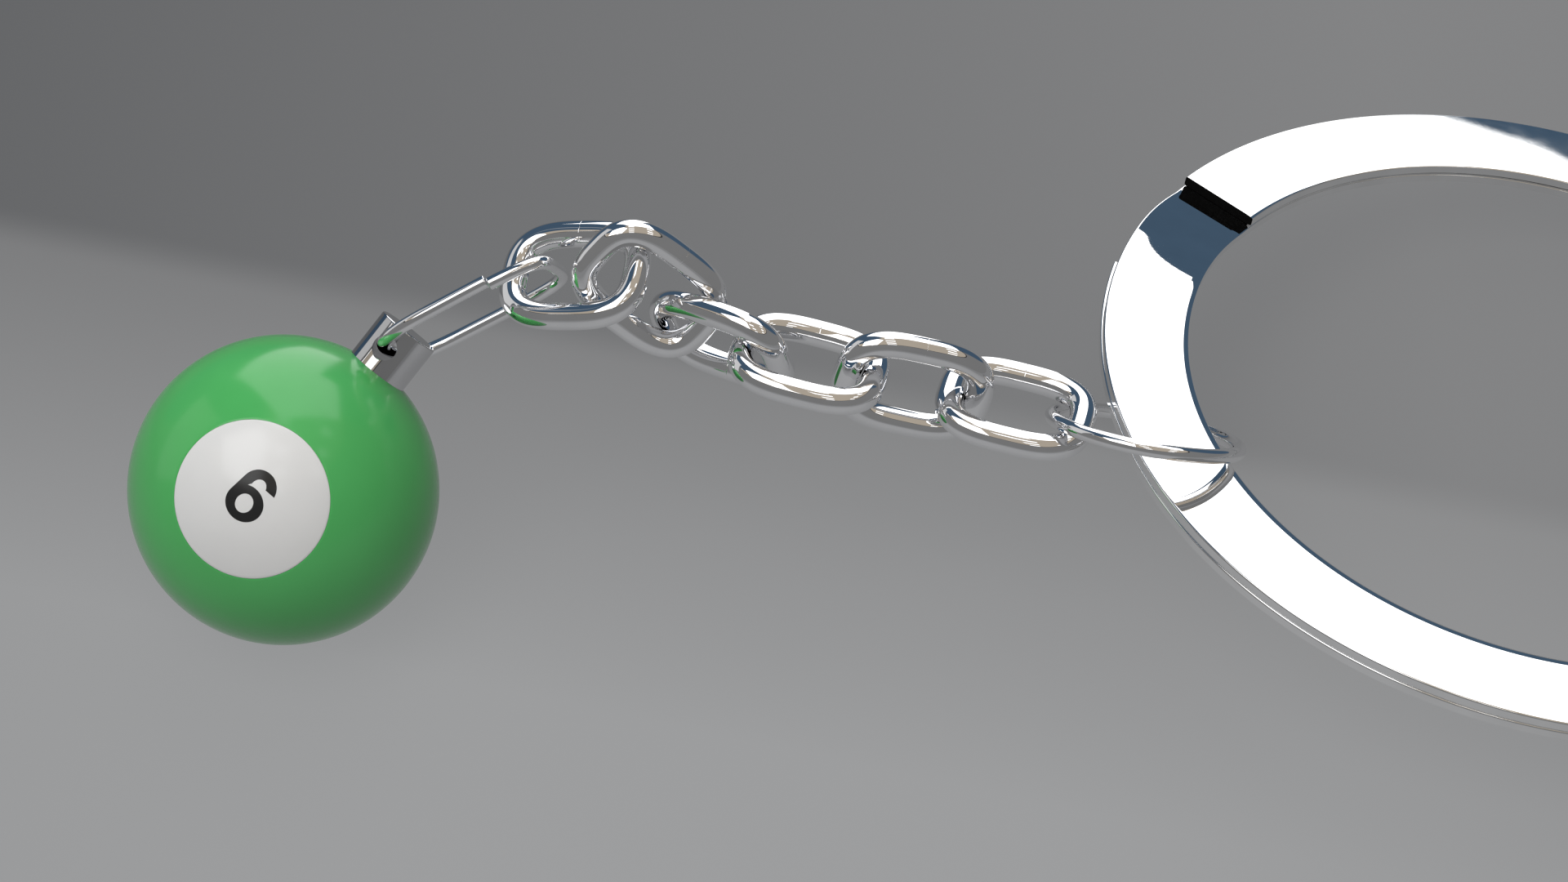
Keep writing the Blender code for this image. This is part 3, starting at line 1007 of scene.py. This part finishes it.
def build_floor():
    """A wide pale sheet whose glow paints its light and shade: a painted pool of light, painted
    shadow along a soft slanting fold, and painted shade, a little darker, beyond it.
    """
    far_off = FLOOR_REACH
    corners = [(-far_off, -far_off, 0), (far_off, -far_off, 0)]
    corners += [(far_off, far_off, 0), (-far_off, far_off, 0)]
    floor = mesh_object("floor_sheet", corners, [(0, 1, 2, 3)], None, smooth=False)
    made, tree, shader = new_material("floor_painted_light")
    coords = tree.nodes.new("ShaderNodeTexCoord")
    parts = tree.nodes.new("ShaderNodeSeparateXYZ")
    tree.links.new(coords.outputs["Object"], parts.inputs["Vector"])
    x, y = parts.outputs["X"], parts.outputs["Y"]
    past = calculate(tree, "MULTIPLY_ADD", x, FOLD_SLOPE, y)
    # Painted shade beyond the fold, and painted shadow along it that fades out towards the pieces.
    far = step_up(tree, past, FOLD_START * MM, FOLD_SOFT * MM)
    lit_share = between(tree, past, 1, 0, (FOLD_START - FOLD_FADE) * MM, FOLD_START * MM)
    along = between(tree, x, 0, 1, FLOOR_SPAN[0] * MM, FLOOR_SPAN[1] * MM)
    fold_shadow = blend_colours(tree, along, FOLD_SHADOW_LEFT, FOLD_SHADOW_RIGHT)
    # Painted light: brighter away from the fold's painted shadow, and dimmer outside the painted
    # pool of light.
    near = layer(tree, fold_shadow, PAINTED_LIT_FLOOR, lit_share)
    near = layer(tree, near, PAINTED_DIM_FLOOR, painted_pool_edge(tree, coords.outputs["Object"]))
    far_shade = blend_colours(tree, along, FAR_SHADE_LEFT, FAR_SHADE_RIGHT)
    mix = tree.nodes.new("ShaderNodeMix")
    mix.data_type = "RGBA"
    tree.links.new(far, mix.inputs["Factor"])
    tree.links.new(near, mix.inputs["A"])
    tree.links.new(far_shade, mix.inputs["B"])
    tone = mix.outputs["Result"]
    # Nearly black base, so the lamps add little; the painted light and shade glow from the
    # emission.
    shader.inputs["Base Color"].default_value = (*FLOOR_ALBEDO, 1)
    shader.inputs["Roughness"].default_value = FLOOR_ROUGHNESS
    shader.inputs["Specular IOR Level"].default_value = 0.0
    tree.links.new(tone, shader.inputs["Emission Color"])
    shader.inputs["Emission Strength"].default_value = 1.0
    floor.data.materials.append(made)


def build_camera():
    e = math.radians(CAMERA_ELEVATION)
    ahead = Vector((0, math.cos(e), -math.sin(e)))
    data = bpy.data.cameras.new("camera")
    data.lens = LENS
    data.sensor_width = SENSOR
    data.clip_start = NEAREST_METRES
    obj = bpy.data.objects.new("camera", data)
    turn = ahead.to_track_quat("-Z", "Y").to_matrix()
    turn = turn @ Matrix.Rotation(math.radians(CAMERA_ROLL), 3, "Z")
    obj.matrix_world = Matrix.Translation(
        (Vector(CAMERA_AIM) - ahead * CAMERA_DISTANCE) * MM
    ) @ turn.to_4x4()
    bpy.context.scene.collection.objects.link(obj)
    bpy.context.scene.camera = obj


build_camera()
build_world()
build_lights()
build_floor()
materials = make_materials()
build_links(materials)
build_jump_ring(materials)
build_oval_ring(materials)
build_split_ring(materials)
build_ball(materials)
build_cap(materials)
bpy.context.scene.view_settings.view_transform = "Standard"
